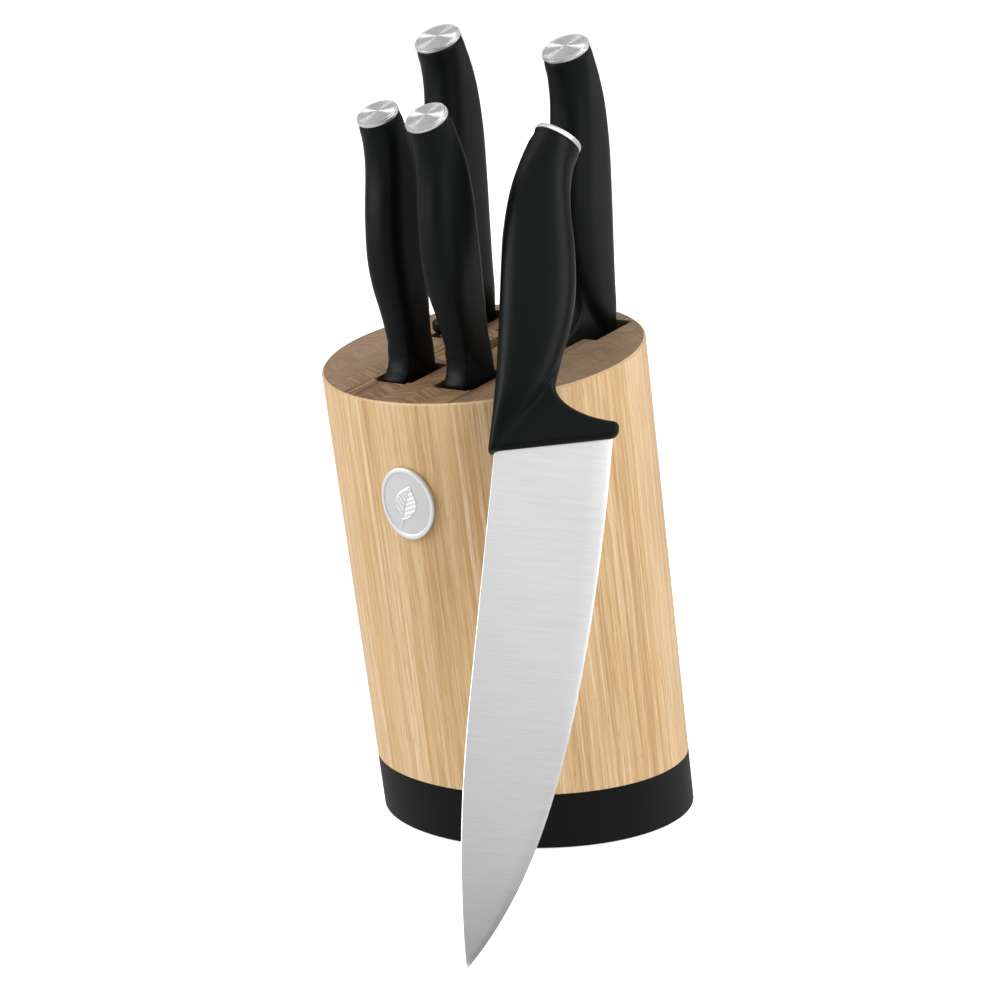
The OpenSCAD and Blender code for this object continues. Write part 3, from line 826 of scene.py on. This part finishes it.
def cap_profile(r):
    """Side with a fine groove round it, rounded rim, and a face sunk inside the rim."""
    return [(0, -CAP_T + 0.12), (r - 0.5, -CAP_T + 0.12), (r - 0.12, -CAP_T + 0.2),
            (r, -CAP_T + 0.36), (r, -GROOVE - 0.1), (r - 0.06, -GROOVE),
            (r - 0.3, -GROOVE + 0.02), (r - 0.32, -GROOVE + 0.12), (r - 0.2, -GROOVE + 0.2),
            (r - 0.22, -0.42), (r - 0.34, -0.2), (r - 0.85, -0.02), (r - 0.98, 0),
            (r - 1.08, -0.03), (r - 1.16, -0.12), (r - 1.3, -0.15), (r * 0.6, -0.14),
            (r * 0.3, -0.14), (r * 0.05, -0.15), (0, -0.17)]


# ------------------------------------------------------------------ badge

LEAF_TURN, LEAF_W, LEAF_L = math.radians(-20), BADGE_W * 0.42, BADGE_H * 0.55
RIB_PITCH, RIB_RISE = 2.3, 0.9      # of the leaf's side veins
BADGE_RINGS, BADGE_POINTS = 76, 200


def relief(a, b):
    """Height of the badge's face over its ground, at a across and b up, from 0 to 1."""
    out = math.hypot(a / (BADGE_W / 2), b / (BADGE_H / 2))
    rim = ease((out - 0.87) / 0.03) * (1 - 0.75 * ease((out - 0.965) / 0.035))
    x = a * math.cos(LEAF_TURN) + b * math.sin(LEAF_TURN)
    y = -a * math.sin(LEAF_TURN) + b * math.cos(LEAF_TURN)
    along = y / LEAF_L + 0.5
    leaf = 0.0
    if 0 < along < 1:
        side = LEAF_W / 2 * math.sin(math.pi * along)
        leaf = ease((side - abs(x)) / 0.7)
        vein = 1 - ease((abs(x) - 0.12) / 0.3)
        rib_at = (y - abs(x) * RIB_RISE) / RIB_PITCH
        rib = 1 - ease((abs(rib_at - round(rib_at)) * RIB_PITCH - 0.1) / 0.32)
        leaf *= 1 - 0.6 * vein - 0.42 * rib * (1 - vein)
    stalk = ease((0.55 - abs(x)) / 0.35) * ease((y + LEAF_L * 0.68) / 0.5)
    stalk *= 1 - ease((y + LEAF_L * 0.42) / 0.6)
    return max(rim, leaf, stalk)


def badge_mesh():
    """An oval plate that follows the block's round side, with its relief on the face."""
    back, face = FOAM_T, FOAM_T + BADGE_T
    verts, heights, faces = [], [], []

    def put(a, b, h, raised):
        out = BLOCK_R + h
        verts.append((a, -math.sqrt(out * out - a * a), b))
        heights.append(raised)
        return len(verts) - 1

    def oval(share):
        angles = [2 * math.pi * n / BADGE_POINTS for n in range(BADGE_POINTS)]
        return [(BADGE_W / 2 * share * math.cos(angle), BADGE_H / 2 * share * math.sin(angle))
                for angle in angles]

    def put_on_face(a, b):
        raised = relief(a, b)
        return put(a, b, face + BADGE_RAISED * raised, raised)

    loops = [[put_on_face(0, 0)] * BADGE_POINTS]
    loops += [[put_on_face(a, b) for a, b in oval(i / BADGE_RINGS)]
              for i in range(1, BADGE_RINGS + 1)]
    for h, share in ((face - 0.2, 1.0), (back + 0.15, 1.0), (back + 0.02, 0.992),
                     (back + 0.02, 0.9)):
        loops.append([put(a, b, h, 0.4) for a, b in oval(share)])
    for inner, outer in zip(loops, loops[1:]):
        for n in range(BADGE_POINTS):
            m = (n + 1) % BADGE_POINTS
            loop = [inner[n], outer[n], outer[m], inner[m]]
            faces.append([v for q, v in enumerate(loop) if v != loop[q - 1]])
    faces.append(loops[-1][::-1])
    return verts, faces, heights


# ------------------------------------------------------------------ making pieces

def make_piece(name, verts, faces, place, finish, sharp):
    """A piece in the shared frame, whose points also keep where they lie in their own."""
    mesh = bpy.data.meshes.new(name)
    mesh.from_pydata([(place @ Vector(v)) * MM for v in verts], [], faces)
    own = mesh.attributes.new("own", "FLOAT_VECTOR", "POINT")
    own.data.foreach_set("vector", [c * MM for v in verts for c in v])
    mesh.validate()
    mesh.update()
    piece = bpy.data.objects.new(name, mesh)
    bpy.context.scene.collection.objects.link(piece)
    mesh.materials.append(finish)
    mesh.shade_smooth()
    mesh.set_sharp_from_angle(angle=math.radians(sharp))
    return piece


def settle(piece, body, slot, *nodes):
    """Puts a piece on its body, in place of the nodes that it is built for."""
    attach(piece, body)
    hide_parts(*nodes)


bamboo = bamboo_finish()
shoe_plastic = black_plastic("shoe_plastic", (0.0032, 0.0036, 0.0036), 0.55, 1500, 0.12)
soft_touch = black_plastic("soft_touch", (0.0024, 0.0031, 0.003), 0.42, 3200, 0.07)
satin_blade = blade_finish()
turned_cap = turned_finish()
satin_badge = badge_finish()
CARRIED = {"base_shoe": shoe_plastic, "base_screws": zinc_finish(),
           "anti_slip_pad": rubber_finish(), "badge_adhesive_pad": foam_finish()}
CARRIED.update({"block_board_%d" % n: bamboo for n in range(1, 7)})
for node, finish in CARRIED.items():
    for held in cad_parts[node].material_slots:
        held.material = finish

for name, nodes, kind, form, w, length, thick, place in KNIVES:
    body = name + "_knife"
    blade = make_piece(name + "_ground_blade",
                       *blade_mesh(kind, form, w, length, thick, name == "bread"),
                       place, satin_blade, 14)
    settle(blade, body, "blade_steel", nodes[0])
    grip = make_piece(name + "_moulded_handle", *handle_mesh(kind), place, soft_touch, 50)
    settle(grip, body, "soft_black", nodes[1])
    cap = make_piece(name + "_turned_cap", *lathe_mesh(cap_profile(kind.cap_r)),
                     place @ on_butt(kind), turned_cap, 30)
    settle(cap, body, "cap_steel", nodes[2])

badge_verts, badge_faces, badge_heights = badge_mesh()
badge = make_piece("badge_stamped", badge_verts, badge_faces,
                   on_axis(BADGE_Z) @ turn("Z", BADGE_TURN), satin_badge, 35)
layer = badge.data.attributes.new("raised", "FLOAT", "POINT")
layer.data.foreach_set("value", badge_heights)
settle(badge, "block", "badge_metal", "badge_plate")

# ------------------------------------------------------------------ floor, light and camera

FLOOR_REACH, FLOOR_DROP = 8.0, 0.0002
# how bright the world is: (0 at the horizon and below, 1 overhead; level)
SKY = ((0.0, 0.85), (0.05, 0.12), (0.37, 0.18), (0.5, 0.7), (0.64, 1.08), (1.0, 0.9))
LIT_AT = Vector((0, 0, 0.17))

scene = bpy.context.scene
scene.view_settings.view_transform = "Standard"

floor_mesh = bpy.data.meshes.new("floor")
floor_mesh.from_pydata([(-FLOOR_REACH, -FLOOR_REACH, 0), (FLOOR_REACH, -FLOOR_REACH, 0),
                        (FLOOR_REACH, FLOOR_REACH, 0), (-FLOOR_REACH, FLOOR_REACH, 0)], [],
                       [(0, 1, 2, 3)])
floor = bpy.data.objects.new("floor", floor_mesh)
scene.collection.objects.link(floor)
floor_finish = Finish("pale_floor", Roughness=0.9, Specular_IOR_Level=0.0,
                      Base_Color=(0.9, 0.9, 0.9, 1), Emission_Color=(1, 1, 1, 1),
                      Emission_Strength=0.7)
floor_mesh.materials.append(floor_finish.material)
floor.location.z = -FLOOR_DROP
floor.visible_diffuse = floor.visible_glossy = False


def world_light():
    """A studio that is bright overhead and below, dim low down, and white to the camera."""
    world = bpy.data.worlds.new("studio")
    scene.world = world
    world.use_nodes = True
    tree = world.node_tree
    nodes, links = tree.nodes, tree.links
    back = nodes["Background"]
    coords = nodes.new("ShaderNodeTexCoord")
    split = nodes.new("ShaderNodeSeparateXYZ")
    ramp = nodes.new("ShaderNodeValToRGB")
    while len(ramp.color_ramp.elements) < len(SKY):
        ramp.color_ramp.elements.new(0.5)
    for stop, (at, level) in zip(ramp.color_ramp.elements, SKY):
        stop.position, stop.color = at, (level, level, level, 1)
    path = nodes.new("ShaderNodeLightPath")
    mix = nodes.new("ShaderNodeMix")
    mix.data_type = "RGBA"
    mix.inputs[7].default_value = (1, 1, 1, 1)
    links.new(coords.outputs["Generated"], split.inputs[0])
    links.new(split.outputs["Z"], ramp.inputs[0])
    links.new(path.outputs["Is Camera Ray"], mix.inputs[0])
    links.new(ramp.outputs[0], mix.inputs[6])
    links.new(mix.outputs[2], back.inputs["Color"])


world_light()


def soft_box(name, azimuth, elevation, distance, wide, high, radiance):
    """A rectangular light that looks at the middle of the block; azimuth 0 is the front."""
    data = bpy.data.lights.new(name, "AREA")
    data.shape, data.size, data.size_y = "RECTANGLE", wide, high
    data.energy = radiance * math.pi * wide * high
    light = bpy.data.objects.new(name, data)
    scene.collection.objects.link(light)
    a, e = math.radians(azimuth), math.radians(elevation)
    way = Vector((math.sin(a) * math.cos(e), -math.cos(a) * math.cos(e), math.sin(e)))
    light.location = LIT_AT + way * distance
    light.rotation_euler = way.to_track_quat("Z", "Y").to_euler()


soft_box("left_box", -38, 24, 1.7, 0.9, 1.4, 5.6)
soft_box("right_box", 88, 28, 1.8, 1.1, 1.4, 4.7)
soft_box("rear_box", 146, 12, 1.8, 0.7, 1.1, 1.3)

AZIMUTH, ELEVATION, DISTANCE = math.radians(36.09), math.radians(10.08), 1.0803
AIM = Vector((0, 0, 0.1674))
SENSOR, LENS, SHIFT, FAR = 36, 88.5, (-0.0397, -0.069), 50
camera_data = bpy.data.cameras.new("camera")
camera = bpy.data.objects.new("camera", camera_data)
scene.collection.objects.link(camera)
back_way = Vector((math.sin(AZIMUTH) * math.cos(ELEVATION),
                   -math.cos(AZIMUTH) * math.cos(ELEVATION), math.sin(ELEVATION)))
camera.location = AIM + back_way * DISTANCE
camera.rotation_euler = back_way.to_track_quat("Z", "Y").to_euler()
camera_data.sensor_width, camera_data.lens = SENSOR, LENS
camera_data.shift_x, camera_data.shift_y = SHIFT
camera_data.clip_end = FAR
scene.camera = camera
